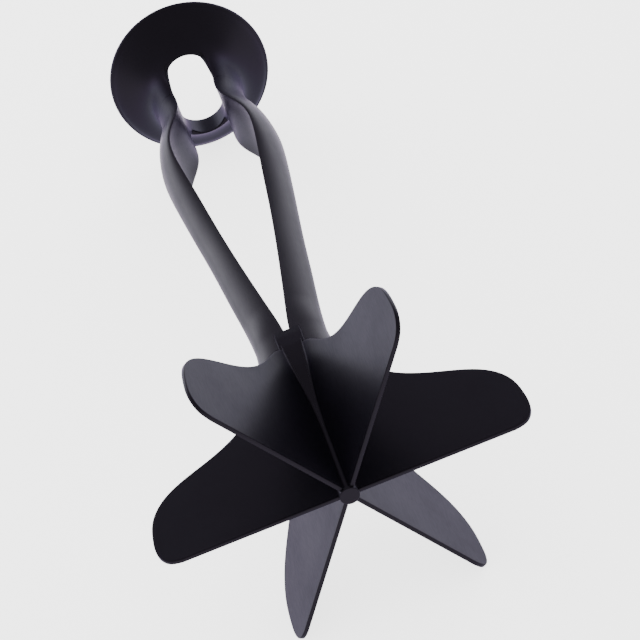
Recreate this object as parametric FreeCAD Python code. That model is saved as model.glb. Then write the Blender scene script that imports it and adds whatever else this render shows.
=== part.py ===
import FreeCAD, Part
import math
import os

# Boat anchor: six flat flukes on a tapered crown, two arms bowed apart, and a bell-mouthed eye.
# Millimetres. Every piece is drawn about the shank axis (+Y, from the crown to the eye, with +Z
# the upper side), then the whole anchor is tipped so that it lies on two flukes and the eye rim.

FLUKE_ANGLES = (0, 58, 122, 180, 238, 302)   # about the shank, 0 to the right and 90 up
FLUKE_PLATE = 2.8          # plate thickness
FLUKE_FOOT = 107.5         # length of the straight foot edge, from the shank axis
CROWN_LENGTH = 165.0       # crown face to the fork between the arms
CORE_FOOT_FLAT = 4.9       # core, axis to flat, at the crown face
CORE_FORK_FLAT = 13.8      # core, axis to flat, at the fork
FORK_RADIUS = 2.1          # round bottom of the fork
BUTTON_RADIUS = 6.4
BUTTON_HEIGHT = 1.6
WELD_LEG = 1.2             # size of the fillet welds along the fluke roots
WELD_TOP = 150.0           # station where the fluke welds stop
WELD_GAP = 2.4             # length of each butt weld at the ends of an arm
ARM_END = 503.0            # station where the arms meet the eye
EYE_STATION = 565.0        # station of the widest circle of the eye
EYE_RADIUS = 66.0
SLOT_HALF_WIDTH = 17.6     # eye slot, across the arms
SLOT_HALF_LENGTH = 37.6    # eye slot, the long way
LEG_HALF_WIDTH = 25.0      # the eye stands on two legs, one over each arm
LEG_TOP = 530.0            # station where the legs run out into the bell
TIP_STATION = 22.0         # station of a fluke's outermost point
ARC_STEPS = 12             # points on an arm's round side, less one
REACH = 200.0              # cutting blocks reach this far from the shank axis
CUT_LEAD = 20.0            # the cuts in the eye start this far below its foot
CUT_RUN = 120.0            # and the slot's cut runs this far along the shank

# Fluke edge beyond the foot: distance from the shank axis, station.
FLUKE_EDGE = [(FLUKE_FOOT, 0.0), (115.6, 2.6), (120.7, 10.0), (122.1, 26.0), (118.9, 44.8), (108.5, 60.7),
              (92.8, 71.5), (75.7, 79.9), (58.3, 90.7), (44.7, 104.0), (33.6, 119.5), (23.0, 135.6),
              (10.0, 149.1)]

# Core rows: station, share of the swell from the foot size to the fork size, widening across.
CORE_ROWS = [(0.0, 0.0, 1.0), (62.0, 0.0, 1.0), (88.0, 0.15, 1.0), (106.0, 0.42, 1.0), (125.0, 0.72, 1.05),
             (146.0, 0.94, 1.25), (CROWN_LENGTH, 1.0, 1.49)]

# Arm sections: station, inner face to axis, depth, half width. Between them the arm is a smooth loft.
ARM_SECTIONS = [
    (CROWN_LENGTH, FORK_RADIUS, 22.2, 13.8),
    (190.0, 5.4, 20.6, 13.8),
    (230.0, 10.8, 19.2, 13.8),
    (275.0, 16.5, 17.6, 13.8),
    (320.0, 21.8, 17.2, 14.4),
    (362.0, 26.6, 16.5, 17.6),
    (393.0, 30.6, 14.9, 21.6),
    (420.0, 33.2, 13.2, 25.2),
    (438.0, 32.0, 13.2, 26.8),
    (455.0, 26.8, 16.2, 27.2),
    (474.0, 20.2, 18.6, 26.4),
    (490.0, 17.8, 17.8, 24.8),
    (ARM_END, SLOT_HALF_WIDTH, 17.6, 24.0),
]

# Half profile of the eye, radius and station: underside out to the rim, then the top dish inwards.
EYE_UNDERSIDE = [(35.2, ARM_END), (36.0, 522.0), (38.6, 534.0), (46.0, 545.0), (55.6, 554.6),
                 (63.4, 560.0), (EYE_RADIUS, EYE_STATION)]
EYE_DISH = [(EYE_RADIUS, EYE_STATION), (63.2, 570.4), (54.6, 571.0), (41.0, 565.0), (30.0, 547.0),
            (21.0, 524.0), (12.0, 512.0)]


def vec(x, y, z):
    return FreeCAD.Vector(x, y, z)


def smooth_edge(points):
    curve = Part.BSplineCurve()
    curve.interpolate([vec(*point) for point in points])
    return curve.toShape()


def fluke_blank():
    """Fluke outline in the XY plane, straight foot edge on Y = 0, extruded to the plate thickness."""
    root = vec(0, 0, 0)
    foot = vec(FLUKE_FOOT, 0, 0)
    last = vec(*FLUKE_EDGE[-1], 0)
    top = vec(0, last.y, 0)
    edges = [
        Part.makeLine(root, foot),
        smooth_edge([(x, y, 0) for x, y in FLUKE_EDGE]),
        Part.makeLine(last, top),
        Part.makeLine(top, root),
    ]
    plate = Part.Face(Part.Wire(edges)).extrude(vec(0, 0, FLUKE_PLATE))
    plate.translate(vec(0, 0, -FLUKE_PLATE / 2))
    return plate


def turned(shape, angle):
    """Copy turned about the shank axis; 0 points along +X and 90 points up."""
    copy = shape.copy()
    copy.rotate(vec(0, 0, 0), vec(0, 1, 0), -angle)
    return copy


def hexagon(flat, station, widening):
    """Six-sided section across the shank axis, widened towards the arms."""
    corner = flat / math.sin(math.radians(FLUKE_ANGLES[1]))
    points = []
    for angle in FLUKE_ANGLES:
        across = corner * widening * math.cos(math.radians(angle))
        points.append(vec(across, station, corner * math.sin(math.radians(angle))))
    return Part.makePolygon(points + points[:1])


def core_blank(extra=0.0):
    """Tapered six-sided bar, slim for its first stretch and swelling to the fork."""
    swell = CORE_FORK_FLAT - CORE_FOOT_FLAT
    wires = [hexagon(CORE_FOOT_FLAT + swell * share + extra, station, widening)
             for station, share, widening in CORE_ROWS]
    return Part.makeLoft(wires, True, True)


def half_round(station, inner, depth, half_width, side):
    """Arm section: a flat inner face and a half-ellipse outside."""
    arc = []
    for k in range(ARC_STEPS + 1):
        angle = math.radians(180 * k / ARC_STEPS - 90)
        arc.append((side * (inner + depth * math.cos(angle)), station, half_width * math.sin(angle)))
    flat = Part.makeLine(vec(*arc[-1]), vec(*arc[0]))
    return Part.Wire([smooth_edge(arc), flat])


def arm_blank(side):
    wires = [half_round(*section, side) for section in ARM_SECTIONS]
    return Part.makeLoft(wires, True, False)


def band(low, high):
    """Block across the whole anchor between two stations."""
    return Part.makeBox(2 * REACH, high - low, 2 * REACH, vec(-REACH, low, -REACH))


def eye_bell():
    """Bell mouth turned about the shank axis, with the slot through it."""
    foot = EYE_UNDERSIDE[0]
    throat = EYE_DISH[-1]
    corner = (throat[0], ARM_END)
    edges = [
        smooth_edge([(x, y, 0) for x, y in EYE_UNDERSIDE]),
        smooth_edge([(x, y, 0) for x, y in EYE_DISH]),
        Part.makeLine(vec(*throat, 0), vec(*corner, 0)),
        Part.makeLine(vec(*corner, 0), vec(*foot, 0)),
    ]
    body = Part.Face(Part.Wire(edges)).revolve(vec(0, 0, 0), vec(0, 1, 0), 360)
    end = SLOT_HALF_LENGTH - SLOT_HALF_WIDTH
    low = ARM_END - CUT_LEAD
    slot = Part.makeBox(2 * SLOT_HALF_WIDTH, CUT_RUN, 2 * end, vec(-SLOT_HALF_WIDTH, low, -end))
    for sign in (-1, 1):
        round_end = Part.makeCylinder(SLOT_HALF_WIDTH, CUT_RUN, vec(0, low, sign * end), vec(0, 1, 0))
        slot = slot.fuse(round_end)
    body = body.cut(slot)
    for sign in (-1, 1):
        beside = band(low, LEG_TOP)
        beside.translate(vec(0, 0, sign * (LEG_HALF_WIDTH + REACH)))
        body = body.cut(beside)
    return body


def fluke_plates(core):
    """Six flukes, each cut to the core so that only its own plate is left."""
    blank = fluke_blank()
    return {f"fluke_{k}": turned(blank, angle).cut(core) for k, angle in enumerate(FLUKE_ANGLES, 1)}


def fluke_welds(core, flukes):
    """Two fillet welds beside the root of every fluke, running the length of its joint."""
    skin = core_blank(WELD_LEG).common(band(0, WELD_TOP)).cut(core)
    strip = Part.makeBox(REACH, WELD_TOP, FLUKE_PLATE + 2 * WELD_LEG,
                         vec(0, 0, -FLUKE_PLATE / 2 - WELD_LEG))
    welds = {}
    for k, angle in enumerate(FLUKE_ANGLES, 1):
        beads = turned(strip, angle).common(skin)
        welds[f"fluke_weld_{k}"] = beads.cut(flukes[f"fluke_{k}"])
    return welds


def arms():
    """Both arms, with the butt weld at each end as a slice of its own."""
    spans = {
        "root_weld": (CROWN_LENGTH, CROWN_LENGTH + WELD_GAP),
        "shank_arm": (CROWN_LENGTH + WELD_GAP, ARM_END - WELD_GAP),
        "eye_weld": (ARM_END - WELD_GAP, ARM_END),
    }
    pieces = {}
    for side, name in ((-1, "left"), (1, "right")):
        blank = arm_blank(side)
        for piece, (low, high) in spans.items():
            pieces[f"{piece}_{name}"] = blank.common(band(low, high))
    return pieces


def crown_core():
    fork = Part.makeCylinder(FORK_RADIUS, 2 * REACH, vec(0, CROWN_LENGTH, -REACH), vec(0, 0, 1))
    return core_blank().cut(fork)


def crown_button():
    return Part.makeCylinder(BUTTON_RADIUS, BUTTON_HEIGHT, vec(0, -BUTTON_HEIGHT, 0), vec(0, 1, 0))


def lowest(shapes):
    return min(shape.optimalBoundingBox(False).ZMin for shape in shapes)


def laid_down(pieces):
    """Tip the anchor until the two lower flukes and the eye rim share a floor at Z = 0."""
    lower_flukes = [pieces["fluke_5"], pieces["fluke_6"]]
    reach = EYE_STATION - TIP_STATION
    fall = 0.0
    for _ in range(4):
        gap = lowest([pieces["eye_bell"]]) - lowest(lower_flukes)
        step = math.degrees(math.atan2(gap, reach))
        fall += step
        for shape in pieces.values():
            shape.rotate(vec(0, 0, 0), vec(1, 0, 0), -step)
    box = Part.makeCompound(list(pieces.values())).optimalBoundingBox(False)
    offset = vec(-(box.XMin + box.XMax) / 2, -(box.YMin + box.YMax) / 2, -box.ZMin)
    for shape in pieces.values():
        shape.translate(offset)
    return fall, offset


core = crown_core()
parts = {"crown_core": core, "crown_button": crown_button(), "eye_bell": eye_bell()}
flukes = fluke_plates(core)
parts.update(flukes)
parts.update(fluke_welds(core, flukes))
parts.update(arms())
fall, offset = laid_down(parts)
print(f"fall {fall:.3f} degrees, offset {offset.x:.3f} {offset.y:.3f} {offset.z:.3f} mm")

os.makedirs("parts", exist_ok=True)
for name, shape in parts.items():
    shape.exportStep(f"parts/{name}.step")
    print(f"{name:18s} solids {len(shape.Solids)} valid {shape.isValid()} volume {shape.Volume:9.1f} mm3")
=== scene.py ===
import math
import bmesh
import bpy
import numpy as np
from mathutils import Matrix, Vector


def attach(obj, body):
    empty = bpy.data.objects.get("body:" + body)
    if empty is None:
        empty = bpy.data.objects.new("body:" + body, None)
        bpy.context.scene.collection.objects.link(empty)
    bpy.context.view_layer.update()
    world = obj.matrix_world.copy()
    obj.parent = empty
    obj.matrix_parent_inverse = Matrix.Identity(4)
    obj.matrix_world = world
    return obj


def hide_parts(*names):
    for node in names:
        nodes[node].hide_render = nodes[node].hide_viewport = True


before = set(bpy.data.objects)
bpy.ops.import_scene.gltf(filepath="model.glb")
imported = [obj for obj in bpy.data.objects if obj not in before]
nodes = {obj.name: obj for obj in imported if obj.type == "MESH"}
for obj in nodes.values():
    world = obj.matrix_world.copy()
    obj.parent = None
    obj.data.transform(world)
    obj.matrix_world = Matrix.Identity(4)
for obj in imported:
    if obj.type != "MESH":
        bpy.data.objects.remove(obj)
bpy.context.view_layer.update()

lay = {
    "fall": 4.067,            # degrees the shank drops from the crown to the eye
    "crownY": -283.798,       # mm, crown face in the floor frame
    "crownZ": 105.907,
}


def place(across, along, up):
    # mm about the shank axis, turned down by the fall, moved to the floor frame, in metres
    c, s = math.cos(math.radians(lay["fall"])), math.sin(math.radians(lay["fall"]))
    across, along, up = np.broadcast_arrays(across, along, up)
    points = [across, along * c + up * s + lay["crownY"], up * c - along * s + lay["crownZ"]]
    return np.stack(points, axis=-1) * 0.001


def linear(hexText):
    # sRGB hex text to linear red, green, blue and a full alpha
    rgb = [int(hexText[i:i + 2], 16) / 255 for i in (1, 3, 5)]
    return [c / 12.92 if c <= 0.04045 else ((c + 0.055) / 1.055) ** 2.4 for c in rgb] + [1.0]


def addNode(tree, kind, settings=None, inputs=None, links=None):
    # settings are the node's own, inputs are fixed socket values, links run from other nodes' outputs
    node = tree.nodes.new(kind)
    for key, value in (settings or {}).items():
        setattr(node, key, value)
    for key, value in (inputs or {}).items():
        node.inputs[key].default_value = value
    for key, source in (links or {}).items():
        tree.links.new(source, node.inputs[key])
    return node


def throughPoints(knots, values, at):
    # natural cubic through the knots: second slopes m solve the usual three-term equations
    x, y = np.asarray(knots, float), np.asarray(values, float)
    h = np.diff(x)
    n = len(x)
    a = np.eye(n)
    b = np.zeros(n)
    inner = np.arange(1, n - 1)
    a[inner, inner - 1] = h[:-1]
    a[inner, inner] = 2 * (h[:-1] + h[1:])
    a[inner, inner + 1] = h[1:]
    b[inner] = 6 * (np.diff(y)[1:] / h[1:] - np.diff(y)[:-1] / h[:-1])
    m = np.linalg.solve(a, b)
    at = np.asarray(at, float)
    i = np.clip(np.searchsorted(x, at) - 1, 0, n - 2)
    u, v = x[i + 1] - at, at - x[i]
    cubic = (m[i] * u ** 3 + m[i + 1] * v ** 3) / (6 * h[i])
    return cubic + (y[i] / h[i] - m[i] * h[i] / 6) * u + (y[i + 1] / h[i] - m[i + 1] * h[i] / 6) * v


def smoothStep(value, low, high):
    # 0 below low, 1 above high, 3t^2 - 2t^3 between
    t = np.clip((value - low) / (high - low), 0, 1)
    return t * t * (3 - 2 * t)


def makePiece(name, points, faces, material, replaced, sharp):
    # sharp: edges bent by more degrees than this stay crisp, the rest are shaded smooth
    mesh = bpy.data.meshes.new(name)
    mesh.from_pydata(points.reshape(-1, 3).tolist(), [], faces)
    solid = bmesh.new()
    solid.from_mesh(mesh)
    if solid.calc_volume(signed=True) < 0:
        mesh.flip_normals()       # the faces ran inside out
    solid.free()
    mesh.polygons.foreach_set("use_smooth", [True] * len(mesh.polygons))
    mesh.set_sharp_from_angle(angle=math.radians(sharp))
    mesh.materials.append(material)
    obj = bpy.data.objects.new(name, mesh)
    bpy.context.scene.collection.objects.link(obj)
    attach(obj, "root")
    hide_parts(*replaced)


def gridFaces(rows, cols, wrapRows=False):
    # quads between neighbouring rows; every row closes on itself
    r = np.arange(rows if wrapRows else rows - 1)[:, None]
    c = np.arange(cols)[None, :]
    r2, c2 = (r + 1) % rows, (c + 1) % cols
    around = np.broadcast_arrays(r * cols + c, r * cols + c2, r2 * cols + c2, r2 * cols + c)
    return np.stack(around, -1).reshape(-1, 4).tolist()


def tubeFaces(rows, cols):
    # closed tube: quads along it and one flat cap at each end
    last = (rows - 1) * cols
    caps = [list(range(cols))[::-1], list(range(last, last + cols))]
    return gridFaces(rows, cols) + caps


camera = {
    "target": (0.0243, 0.0, 0.0045),
    "distance": 1.5129,       # metres to the target
    "azimuth": 0.52,          # degrees, 0 looks along the shank from the crown
    "elevation": 39.84,
    "roll": -21.34,
    "lens": 115.3,
    "sensor": 36.0,
    "farthest": 30.0,         # metres the camera sees
}


def makeCamera():
    # looks at the target from its distance; the roll turns the picture about the line of sight
    data = bpy.data.cameras.new("viewCamera")
    data.lens = camera["lens"]
    data.sensor_width = camera["sensor"]
    data.clip_end = camera["farthest"]
    az, el, roll = (math.radians(camera[k]) for k in ("azimuth", "elevation", "roll"))
    forward = Vector((math.sin(az) * math.cos(el), math.cos(az) * math.cos(el), -math.sin(el)))
    level = forward.cross(Vector((0, 0, 1))).normalized()
    right = level * math.cos(roll) + level.cross(forward) * math.sin(roll)
    turn = Matrix((right, right.cross(forward), -forward)).transposed().to_4x4()
    obj = bpy.data.objects.new("viewCamera", data)
    bpy.context.scene.collection.objects.link(obj)
    obj.matrix_world = Matrix.Translation(Vector(camera["target"]) - forward * camera["distance"]) @ turn
    bpy.context.scene.camera = obj


makeCamera()

coat = {
    "colour": "#131115",
    "metallic": 0.66,         # share of the shine that is a metal's, tinted at the edges
    # painted light: less metal shows the arms paler, more metal shows the eye darker
    "armMetallic": 0.47,
    "eyeMetallic": 0.76,
    "armEnds": (0.12, 0.24),  # metres along the floor, where the arms' coat passes into the eye's
    "edgeTint": "#a898b6",    # colour of the glancing reflection
    "specular": 0.14,
    "sheen": 0.03,            # faint dusty light at the edges
    # painted light: more sheen on the arms makes them paler
    "armPaintedSheen": 0.08,
    "sheenTint": "#8f84b0",
    "sheenRoughness": 0.45,
    "roughness": 0.36,
    "roughnessSpread": (0.05, 0.06),   # below and above, from streak to streak
    "weldRougher": 0.05,
    "toneSpread": 0.25,       # share the colour drifts either way
    "streakMm": 0.55,         # width of one streak, coarser than a real one so that it shows
    "streakLength": 16,       # against its width
    "streakDepthMm": 0.018,
    "streakMix": 0.5,         # streaks against cloud, in roughness and tone
    "mixRange": (0.35, 0.65),  # the part of the mix that drives the roughness
    "cloudPerMetre": 26.0,    # unevenness of the coat, about 38 mm across
    "grainPerMetre": 900.0,   # speckle, about 1.1 mm across, coarser than the real one so that it shows
    "bump": 0.5,
}


def makeCoat(name, roughness):
    # satin black coat on steel: soft broad reflections, a slightly uneven tone, and fine streaks
    # along the anchor where the finish of the metal shows through
    material = bpy.data.materials.new(name)
    material.use_nodes = True
    tree = material.node_tree
    shader = tree.nodes["Principled BSDF"]
    shader.inputs["Specular Tint"].default_value = linear(coat["edgeTint"])
    shader.inputs["Specular IOR Level"].default_value = coat["specular"]
    shader.inputs["Metallic"].default_value = coat["metallic"]
    shader.inputs["Sheen Weight"].default_value = coat["sheen"]
    shader.inputs["Sheen Tint"].default_value = linear(coat["sheenTint"])
    shader.inputs["Sheen Roughness"].default_value = coat["sheenRoughness"]
    where = addNode(tree, "ShaderNodeTexCoord")
    perMetre = 1000 / coat["streakMm"]
    scale = (perMetre, perMetre / coat["streakLength"], perMetre)
    stretch = addNode(tree, "ShaderNodeMapping", inputs={"Scale": scale},
                      links={"Vector": where.outputs["Object"]})
    streaks = addNode(tree, "ShaderNodeTexNoise", inputs={"Scale": 1.0, "Detail": 3.0, "Roughness": 0.6},
                      links={"Vector": stretch.outputs["Vector"]})
    cloud = addNode(tree, "ShaderNodeTexNoise",
                    inputs={"Scale": coat["cloudPerMetre"], "Detail": 4.0, "Roughness": 0.55},
                    links={"Vector": where.outputs["Object"]})
    grain = addNode(tree, "ShaderNodeTexNoise", inputs={"Scale": coat["grainPerMetre"], "Detail": 2.0},
                    links={"Vector": where.outputs["Object"]})
    # both = streaks * mix + cloud * (1 - mix)
    part = addNode(tree, "ShaderNodeMath", {"operation": "MULTIPLY"}, {1: coat["streakMix"]},
                   {0: streaks.outputs["Fac"]})
    both = addNode(tree, "ShaderNodeMath", {"operation": "MULTIPLY_ADD"}, {1: 1 - coat["streakMix"]},
                   {0: cloud.outputs["Fac"], 2: part.outputs["Value"]})
    low, high = coat["mixRange"]
    less, more = coat["roughnessSpread"]
    ramp = addNode(tree, "ShaderNodeMapRange",
                   inputs={"From Min": low, "From Max": high,
                           "To Min": roughness - less, "To Max": roughness + more},
                   links={"Value": both.outputs["Value"]})
    tree.links.new(ramp.outputs["Result"], shader.inputs["Roughness"])
    tone = addNode(tree, "ShaderNodeMix", {"data_type": "RGBA"}, links={"Factor": both.outputs["Value"]})
    # sockets 6 and 7 are the two colours of the mix
    for socket, share in ((6, 1 - coat["toneSpread"]), (7, 1 + coat["toneSpread"])):
        tone.inputs[socket].default_value = [c * share for c in linear(coat["colour"])[:3]] + [1.0]
    tree.links.new(tone.outputs[2], shader.inputs["Base Color"])
    relief = addNode(tree, "ShaderNodeMath", {"operation": "ADD"},
                     links={0: streaks.outputs["Fac"], 1: grain.outputs["Fac"]})
    bump = addNode(tree, "ShaderNodeBump",
                   inputs={"Strength": coat["bump"], "Distance": coat["streakDepthMm"] * 0.001},
                   links={"Height": relief.outputs["Value"]})
    tree.links.new(bump.outputs["Normal"], shader.inputs["Normal"])
    return material


def makeShankCoat():
    # the same coat with painted light on the arms: more sheen and less metal make them paler, standing in
    # for the glancing light they catch; the metal rises again towards the eye, painting it darker, by a
    # smooth step on the distance along the floor
    material = makeCoat("shankCoatPaintedLight", coat["roughness"])
    tree = material.node_tree
    tree.nodes["Principled BSDF"].inputs["Sheen Weight"].default_value = coat["armPaintedSheen"]
    where = addNode(tree, "ShaderNodeTexCoord")
    axes = addNode(tree, "ShaderNodeSeparateXYZ", links={"Vector": where.outputs["Object"]})
    fade = addNode(tree, "ShaderNodeMapRange", {"interpolation_type": "SMOOTHSTEP"},
                   {"From Min": coat["armEnds"][0], "From Max": coat["armEnds"][1],
                    "To Min": coat["armMetallic"], "To Max": coat["eyeMetallic"]},
                   {"Value": axes.outputs["Y"]})
    tree.links.new(fade.outputs["Result"], tree.nodes["Principled BSDF"].inputs["Metallic"])
    return material


coatMaterial = makeCoat("satinBlackCoat", coat["roughness"])
shankMaterial = makeShankCoat()
weldMaterial = makeCoat("coatedWeld", coat["roughness"] + coat["weldRougher"])
for cadNode in nodes.values():
    cadNode.data.materials.clear()
    cadNode.data.materials.append(coatMaterial)

fluke = {
    "angles": (0, 58, 122, 180, 238, 302),   # degrees about the shank, 0 to the right and 90 up
    "plate": 2.8,             # mm thick
    "foot": 107.5,            # straight foot edge, from the axis
    "bevel": 0.5,
    "inner": 3.2,             # the plates stop this far from the axis, inside the core
    "capInset": 3,            # flat faces start this many bevels inside the outline
    "edgePoints": 150,
    "footPoints": 40,
    "innerPoints": 21,
    "bevelSteps": 9,
    "crisp": 60,              # bends of more degrees stay crisp
    # distance from the axis, station
    "edge": [(107.5, 0.0), (115.6, 2.6), (120.7, 10.0), (122.1, 26.0), (118.9, 44.8), (108.5, 60.7),
             (92.8, 71.5), (75.7, 79.9), (58.3, 90.7), (44.7, 104.0), (33.6, 119.5), (23.0, 135.6),
             (10.0, 149.1)],
}


def flukeOutline():
    # straight foot, a natural cubic through the edge points by distance run, straight back by the axis
    knots = np.array(fluke["edge"])
    run = np.concatenate([[0], np.cumsum(np.hypot(*np.diff(knots, axis=0).T))])
    at = np.linspace(0, run[-1], fluke["edgePoints"])
    curve = np.stack([throughPoints(run, knots[:, 0], at), throughPoints(run, knots[:, 1], at)], -1)
    foot = np.linspace((fluke["inner"], 0), (fluke["foot"], 0), fluke["footPoints"])[:-1]
    axisSide = np.linspace((fluke["inner"], knots[-1][1]), (fluke["inner"], 0), fluke["innerPoints"])[:-1]
    return np.concatenate([foot, curve, axisSide])


def makeFluke(number, angle):
    outline = flukeOutline()
    ahead, behind = np.roll(outline, -1, 0) - outline, outline - np.roll(outline, 1, 0)
    ahead, behind = (v / np.hypot(*v.T)[:, None] for v in (ahead, behind))
    way = ahead + behind
    way /= np.hypot(*way.T)[:, None]
    outward = np.stack([way[:, 1], -way[:, 0]], -1)
    half, bevel = fluke["plate"] / 2, fluke["bevel"]
    turn = np.radians(np.linspace(-90, 90, fluke["bevelSteps"]))
    # ring k lies bevel*(cos-1) inside the outline and half-bevel+bevel*sin above the mid plane
    cap = [-fluke["capInset"] * bevel]
    inset = np.concatenate([cap, bevel * (np.cos(turn) - 1), cap])
    height = np.concatenate([[-half], np.sign(turn) * (half - bevel) + bevel * np.sin(turn), [half]])
    rings = outline[None] + inset[:, None, None] * outward[None]
    n = height[:, None]
    a = math.radians(angle)
    rho, along = rings[..., 0], rings[..., 1]
    points = place(rho * math.cos(a) - n * math.sin(a), along, rho * math.sin(a) + n * math.cos(a))
    makePiece(f"flukePlate{number}", points, tubeFaces(len(inset), len(outline)), coatMaterial,
              [f"fluke_{number}"], fluke["crisp"])


for number, angle in enumerate(fluke["angles"], 1):
    makeFluke(number, angle)
print("flukes made")

core = {
    "footFlat": 4.9,          # mm, axis to flat at the crown face
    "forkFlat": 14.1,
    "end": 163.2,
    # station, share of the way from the foot size to the fork size
    "swell": [(0.0, 0.0), (62.0, 0.0), (88.0, 0.15), (106.0, 0.42), (125.0, 0.72), (146.0, 0.94),
              (157.0, 0.97), (163.2, 0.93)],
    "rings": 120,
    "flatSteps": 6,
    "crisp": 25,
}

button = {
    "radius": 6.4,
    "height": 1.6,
    "edge": 0.7,              # rounding of the face's edge
    "sunk": 0.4,              # how far it runs into the core
    "pole": 0.02,             # radius of the small flat that closes the middle
    "middle": 0.5,            # ring between the pole and the edge, as a share of the radius
    "edgeSteps": 9,
    "around": 72,
    "crisp": 50,
}


def coreFlat(along):
    # axis to flat: straight between the swell's rows
    table = np.array(core["swell"])
    share = np.interp(along, table[:, 0], table[:, 1])
    return core["footFlat"] + (core["forkFlat"] - core["footFlat"]) * share


def makeCore():
    # six-sided ring scaled by the flat size at each station; flats run straight from corner to corner
    along = np.linspace(0, core["end"], core["rings"])
    flat = coreFlat(along)
    corners = np.radians(np.array(fluke["angles"]))
    unit = np.stack([np.cos(corners), np.sin(corners)], -1) / math.sin(corners[1])
    after = np.roll(unit, -1, 0)
    steps = np.linspace(0, 1, core["flatSteps"] + 1)[:-1]
    ring = (unit[:, None] * (1 - steps[:, None]) + after[:, None] * steps[:, None]).reshape(-1, 2)
    points = place(flat[:, None] * ring[:, 0], along[:, None], flat[:, None] * ring[:, 1])
    makePiece("crownCore", points, tubeFaces(len(along), len(ring)), coatMaterial,
              ["crown_core"], core["crisp"])


def makeButton():
    # flat face, quarter-round edge and straight side, turned about the axis
    t = np.linspace(0, math.pi / 2, button["edgeSteps"])
    low, radius, edge = -button["height"], button["radius"], button["edge"]
    middle = radius * button["middle"]
    radii = np.concatenate([[button["pole"], middle], radius - edge + edge * np.sin(t), [radius]])
    depth = np.concatenate([[low, low], low + edge - edge * np.cos(t), [button["sunk"]]])
    around = np.linspace(0, 2 * math.pi, button["around"] + 1)[:-1]
    points = place(radii[:, None] * np.cos(around), depth[:, None], radii[:, None] * np.sin(around))
    makePiece("crownButton", points, tubeFaces(len(radii), len(around)), coatMaterial,
              ["crown_button"], button["crisp"])


weld = {
    "leg": 1.3,               # mm, fillet size on plate and core
    "end": 148.0,
    "endShare": 0.25,         # the fillet shrinks to this share at its end
    "fade": 12.0,             # over this length
    "hollow": 0.55,           # how far the fillet reaches in over the core, in legs
    "plateShare": 0.6,        # where plate meets core: back from the core's corner, in half plates
    "buried": 1.6,            # depth of the hidden back
    "backRise": 0.6,
    "steps": 7,
    "rings": 90,
    "crisp": 50,
}


def makeFlukeWeld(number, angle):
    # two hollow fillets where the plate meets the core, one on each face of the plate
    along = np.linspace(0.0, weld["end"], weld["rings"])[:, None]
    share = smoothStep(weld["end"] - along, 0, weld["fade"])
    leg = weld["leg"] * (weld["endShare"] + (1 - weld["endShare"]) * share)
    half = fluke["plate"] / 2
    corner = coreFlat(along) / math.sin(math.radians(fluke["angles"][1])) - half * weld["plateShare"]
    u = np.linspace(0, 1, weld["steps"])[None]
    # from the plate (out along it) to the core (away from it), drawn into the corner as (1-u)^2 and u^2
    out = corner + leg * (1 - u) ** 2 - leg * weld["hollow"] * u ** 2
    off = half + leg * u ** 2
    inside = corner - weld["buried"]
    out = np.concatenate([out, inside - leg * 0.5, inside], 1)
    back = np.full_like(leg, half - weld["backRise"])
    off = np.concatenate([off, half + leg * weld["backRise"], back], 1)
    points, faces = [], []
    a = math.radians(angle)
    for side in (1, -1):
        n = off * side
        faces += [[v + len(points) * out.size for v in face] for face in tubeFaces(*out.shape)]
        across, up = out * math.cos(a) - n * math.sin(a), out * math.sin(a) + n * math.cos(a)
        points.append(place(across, along, up))
    count = len(faces) // 2       # the second bead is the first one mirrored, so its faces are reversed
    faces[count:] = [face[::-1] for face in faces[count:]]
    makePiece(f"flukeWeld{number}", np.concatenate(points), faces, weldMaterial,
              [f"fluke_weld_{number}"], weld["crisp"])


for number, angle in enumerate(fluke["angles"], 1):
    makeFlukeWeld(number, angle)
makeCore()
makeButton()
print("crown made")

arm = {
    "rootEnd": 167.4,         # stations between the pieces of one arm
    "eyeStart": 500.6,
    "end": 503.0,
    "toe": 136.0,             # the rounded toe starts here, on the side of the core
    "toeLength": 9.0,
    "toeDrop": (10.0, 1.5),   # depth and half width missing where the toe starts
    "toeFirst": 0.02,         # first step of the toe's quarter turn, so its cap has some size
    "flare": 3.2,             # mm, hollow run-out of the arm over the plates
    "flareFrom": 168.0,
    "flareRun": 26.0,
    "fullness": (1.6, 2.0),   # mid arm, arm ends: 2 is a half ellipse, less gives keener long edges
    "rootFade": (168.0, 200.0),    # stretches over which one fullness passes into the other
    "eyeFade": (470.0, 500.0),
    "lip": 1.3,               # mm, rounding of the two long edges
    "innerPower": 6,          # squareness of the inner face
    "curlPower": 4,           # how close to the long edges the curl keeps
    "outerSteps": 41,
    "innerSteps": 33,
    "toeRings": 24,
    "rootRings": 20,
    "rings": 260,
    "weldRings": 4,
    "crisp": 60,
    # station, inner face to axis, depth, half width, curl of the long edges towards the axis
    "rows": [(130.0, 1.8, 23.4, 12.6, 0.0), (165.0, 1.8, 23.4, 13.3, 0.0),
             (190.0, 4.8, 21.8, 13.9, 0.0), (230.0, 10.2, 20.2, 13.8, 0.0),
             (275.0, 15.9, 18.6, 13.8, 0.0), (320.0, 21.2, 18.1, 14.4, 0.3),
             (362.0, 26.2, 17.5, 17.6, 0.8), (393.0, 30.4, 16.1, 21.4, 1.2),
             (420.0, 33.0, 14.4, 24.8, 1.6), (438.0, 31.8, 14.4, 26.2, 1.8),
             (455.0, 26.4, 17.4, 26.8, 2.0), (474.0, 19.6, 19.4, 26.2, 2.2),
             (490.0, 16.8, 18.4, 24.8, 1.2), (503.0, 16.8, 18.4, 24.0, 0.4)],
}


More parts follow.
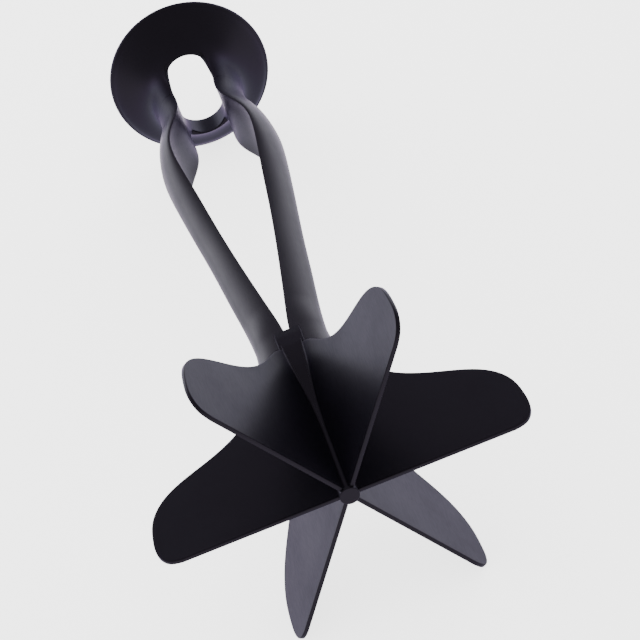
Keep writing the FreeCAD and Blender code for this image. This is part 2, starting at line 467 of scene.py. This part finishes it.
def armRings(along, side):
    table = np.array(arm["rows"]).T
    inner, depth, half, curl = (throughPoints(table[0], row, along)[:, None] for row in table[1:])
    # the toe: a quarter round from the core up to the full section
    climb = np.clip((along - arm["toe"]) / arm["toeLength"], 0, 1)
    rise = np.sqrt(np.clip(1 - (1 - climb) ** 2, 0, 1))[:, None]
    depth = depth - arm["toeDrop"][0] * (1 - rise)
    half = half - arm["toeDrop"][1] * (1 - rise)
    # the flare: extra depth that grows with the square of the distance below flareFrom
    flare = arm["flare"] * (np.clip(arm["flareFrom"] - along, 0, None) / arm["flareRun"])[:, None] ** 2
    t = np.linspace(-math.pi / 2, math.pi / 2, arm["outerSteps"])
    # outer face: |x/depth|^n + |z/half|^n = 1
    rootLow, rootHigh = arm["rootFade"]
    ends = smoothStep(along, *arm["eyeFade"]) + smoothStep(-along, -rootHigh, -rootLow)
    keen, full = arm["fullness"]
    power = (2 / (keen + (full - keen) * ends))[:, None]
    outX = inner + arm["lip"] + (depth + flare - arm["lip"]) * np.cos(t) ** power
    outZ = half * np.sign(t) * np.abs(np.sin(t)) ** power
    # inner face: nearly flat, its corners rounded as |x/lip|^6 + |z/half|^6 = 1
    s = np.linspace(math.pi / 2, -math.pi / 2, arm["innerSteps"])[1:-1]
    square = 2 / arm["innerPower"]
    inX = inner + arm["lip"] * (1 - np.abs(np.cos(s)) ** square)
    inZ = half * np.sign(np.sin(s)) * np.abs(np.sin(s)) ** square
    across = np.concatenate([outX, inX], 1)
    up = np.concatenate([outZ, inZ], 1)
    across = across - curl * np.abs(up / half) ** arm["curlPower"]
    return place(side * across, along[:, None], up)


def makeArm(side, label):
    # one run of rings cut into three pieces that share their end rings; the toe's are closest at its tip
    turn = np.linspace(arm["toeFirst"], math.pi / 2, arm["toeRings"])
    toe = arm["toe"] + arm["toeLength"] * (1 - np.cos(turn))
    root = np.append(toe, np.linspace(toe[-1] + 1, arm["rootEnd"], arm["rootRings"]))
    spans = {
        "rootWeld": ("root_weld", "weld", root),
        "shankArm": ("shank_arm", "coating", np.linspace(arm["rootEnd"], arm["eyeStart"], arm["rings"])),
        "eyeWeld": ("eye_weld", "weld", np.linspace(arm["eyeStart"], arm["end"], arm["weldRings"])),
    }
    for name, (cadName, slotName, along) in spans.items():
        rings = armRings(along, side)
        makePiece(f"{name}{label}", rings, tubeFaces(*rings.shape[:2]), shankMaterial,
                  [f"{cadName}_{label.lower()}"], arm["crisp"])


makeArm(-1, "Left")
makeArm(1, "Right")
print("arms made")

eye = {
    "slotHalfWidth": 17.3,    # mm, across the arms
    "slotHalfLength": 36.4,
    # station, radius
    "underside": [(503.0, 35.2), (522.0, 36.0), (534.0, 38.6), (545.0, 46.0), (552.6, 54.4),
                  (558.6, 61.4), (561.8, 63.9)],
    # radius, station
    "dish": [(17.0, 531.0), (24.0, 541.0), (30.0, 549.0), (37.6, 556.3), (45.0, 561.8), (54.0, 567.0),
             (61.07, 569.5)],
    "rimCentre": (61.75, 565.4),
    "rimRound": 4.2,
    "rimTurn": (-60, 100),    # degrees, 0 outwards and 90 up the shank
    "legDepth": 17.55,
    "legHalfWidth": 24.0,
    "legLeast": 29.6,         # the legs' radius nowhere falls below this
    "legTop": 540.0,          # station where the legs have run out into the bell
    "wallLeast": 0.8,         # thinnest wall round the slot
    "archRise": 29.0,         # the slot's ends stand this far above the legs' foot
    "archSpan": (48, 66),     # degrees from the arms, where the foot climbs to the arch
    "lipRound": 1.4,
    "lipSpan": (44, 52),      # degrees from the arms: the foot is square over a leg, rounded beyond
    "lipShare": 0.45,         # most of the wall that one rounding takes
    "lipLeast": 0.02,
    "around": 256,
    "steps": 30,
    "rimSteps": 16,
    "wallSteps": 14,
    "roundSteps": 7,
    "crisp": 60,
}


def makeEye():
    # one closed section at each angle round the axis: out along the underside, over the rim,
    # in across the dish and back through the slot
    around = np.linspace(0, 2 * math.pi, eye["around"] + 1)[:-1][:, None]
    c, s = np.abs(np.cos(around)), np.abs(np.sin(around))
    wide = eye["slotHalfWidth"]
    end = eye["slotHalfLength"] - wide
    # slot edge: a flat side where the ray meets it, else the round end
    side = wide / np.maximum(c, 1e-6)
    roundEnd = end * s + np.sqrt(np.maximum(wide ** 2 - (end * c) ** 2, 0))
    slot = np.where(side * s <= end, side, roundEnd)
    away = np.degrees(np.arctan2(s, c))       # 0 over an arm, 90 at the slot's long ends
    foot = arm["end"] + eye["archRise"] * smoothStep(away, *eye["archSpan"])
    low = np.array(eye["underside"])
    dish = np.array(eye["dish"])
    t = np.linspace(0, 1, eye["steps"])[None]
    underAlong = foot + (low[-1, 0] - foot) * t
    underRadius = throughPoints(low[:, 0], low[:, 1], underAlong)
    # legs: radius of the arm's half ellipse, r = 2 c/d / (c^2/d^2 + s^2/w^2), eased into the bell above
    depth, legWide = eye["legDepth"], eye["legHalfWidth"]
    legRadius = np.maximum(2 * c / depth / (c ** 2 / depth ** 2 + s ** 2 / legWide ** 2), eye["legLeast"])
    legShare = 1 - smoothStep(underAlong, arm["end"], eye["legTop"])
    underRadius = underRadius - (low[0, 1] - legRadius) * legShare
    underRadius = np.maximum(underRadius, slot + eye["wallLeast"])
    # rim: an arc, the same at every angle
    turn = np.radians(np.linspace(*eye["rimTurn"], eye["rimSteps"]))
    rimRadius = eye["rimCentre"][0] + eye["rimRound"] * np.cos(turn)
    rimAlong = eye["rimCentre"][1] + eye["rimRound"] * np.sin(turn)
    dishRadius = dish[-1, 0] + (slot - dish[-1, 0]) * t
    dishAlong = throughPoints(dish[:, 0], dish[:, 1], dishRadius)

    def corner(before, at, after, reach):
        # rounds one corner of the section as a(1-u)^2 + 2pu(1-u) + bu^2, with a and b at the reach
        def toward(point):
            d = point - at
            return at + d / np.maximum(np.linalg.norm(d, axis=-1, keepdims=True), 1e-9) * reach
        a, b = toward(before)[:, None], toward(after)[:, None]
        u = np.linspace(0, 1, eye["roundSteps"])[None, :, None]
        return a * (1 - u) ** 2 + 2 * at[:, None] * u * (1 - u) + b * u ** 2

    underside = np.stack([underRadius, underAlong], -1)
    rim = np.repeat(np.stack([rimRadius, rimAlong], -1)[None], len(around), axis=0)
    bowl = np.stack([dishRadius, dishAlong], -1)
    wallTop, wallFoot = bowl[:, -1], np.stack([slot[:, 0], foot[:, 0]], -1)
    outerFoot = underside[:, 0]
    lip = eye["lipRound"]
    wallWidth = np.linalg.norm(outerFoot - wallFoot, axis=-1, keepdims=True)
    thin = np.minimum(lip, wallWidth * eye["lipShare"])
    reach = thin * smoothStep(away, *eye["lipSpan"]) + eye["lipLeast"]
    topRound = corner(bowl[:, -4], wallTop, wallFoot, lip)
    footRound = corner(wallTop, wallFoot, outerFoot, reach)
    outerRound = corner(wallFoot, outerFoot, underside[:, 3], reach)
    u = np.linspace(0, 1, eye["wallSteps"])[None, 1:-1, None]
    wall = topRound[:, -1:] * (1 - u) + footRound[:, :1] * u
    # the points that a rounding replaces are left out
    run = [outerRound, underside[:, 2:], rim[:, 1:-1], bowl[:, :-2], topRound, wall, footRound]
    section = np.concatenate(run, axis=1)
    points = place(section[..., 0] * np.cos(around), section[..., 1], section[..., 0] * np.sin(around))
    faces = gridFaces(points.shape[0], points.shape[1], wrapRows=True)
    makePiece("eyeBell", points, faces, shankMaterial, ["eye_bell"], eye["crisp"])


makeEye()
print("eye made")

studio = {
    "floor": "#f2f2f2",
    "floorHalf": 6,           # metres from the middle to each side
    "floorRoughness": 0.9,
    "floorSpecular": 0.1,
    "floorGlow": 2.6,         # the table is lit from below, so shadows stay faint
    "sidePower": 30.0,        # watts
    "sideSize": (1.9, 0.9),   # metres
    "sideSpot": (1.45, 1.75, 0.45),
    "rightShare": 0.7,        # power of the right softbox against the left one
    "skyLow": 3.8,            # as bright as the floor, so no horizon shows
    "skyHigh": 1.4,
    "skyFade": (0.02, 0.30),  # height of the fade, 0 at the horizon and 1 overhead
}


def makeFloor():
    # matt white plastic table that glows a little: an even pale ground that mirrors nothing
    half = studio["floorHalf"]
    mesh = bpy.data.meshes.new("studioFloor")
    mesh.from_pydata([(-half, -half, 0), (half, -half, 0), (half, half, 0), (-half, half, 0)], [],
                     [(0, 1, 2, 3)])
    material = bpy.data.materials.new("paleFloor")
    material.use_nodes = True
    shader = material.node_tree.nodes["Principled BSDF"]
    shader.inputs["Base Color"].default_value = linear(studio["floor"])
    shader.inputs["Roughness"].default_value = studio["floorRoughness"]
    shader.inputs["Specular IOR Level"].default_value = studio["floorSpecular"]
    shader.inputs["Emission Color"].default_value = (1, 1, 1, 1)
    shader.inputs["Emission Strength"].default_value = studio["floorGlow"]
    mesh.materials.append(material)
    obj = bpy.data.objects.new("studioFloor", mesh)
    bpy.context.scene.collection.objects.link(obj)


def makeSoftbox(name, side, power):
    # a wide soft light beyond the eye and off to one side, facing the middle of the anchor
    data = bpy.data.lights.new(name, "AREA")
    data.shape = "RECTANGLE"
    data.size, data.size_y = studio["sideSize"]
    data.energy = power
    obj = bpy.data.objects.new(name, data)
    position = Vector((side * studio["sideSpot"][0], *studio["sideSpot"][1:]))
    obj.location = position
    obj.visible_camera = False
    obj.rotation_euler = (-position).to_track_quat("-Z", "Y").to_euler()
    bpy.context.scene.collection.objects.link(obj)


def makeAir():
    # bright near the horizon, dimmer overhead, so the upper faces stay black and the sides pick up light
    world = bpy.data.worlds.new("studioAir")
    bpy.context.scene.world = world
    world.use_nodes = True
    tree = world.node_tree
    where = addNode(tree, "ShaderNodeTexCoord")
    axes = addNode(tree, "ShaderNodeSeparateXYZ", links={"Vector": where.outputs["Generated"]})
    fade = addNode(tree, "ShaderNodeMapRange", {"interpolation_type": "SMOOTHSTEP"},
                   {"From Min": studio["skyFade"][0], "From Max": studio["skyFade"][1],
                    "To Min": studio["skyLow"], "To Max": studio["skyHigh"]},
                   {"Value": axes.outputs["Z"]})
    back = tree.nodes["Background"]
    back.inputs["Color"].default_value = (1, 1, 1, 1)
    tree.links.new(fade.outputs["Result"], back.inputs["Strength"])


makeFloor()
makeSoftbox("softboxLeft", -1, studio["sidePower"])
makeSoftbox("softboxRight", 1, studio["sidePower"] * studio["rightShare"])
makeAir()
print("studio made")
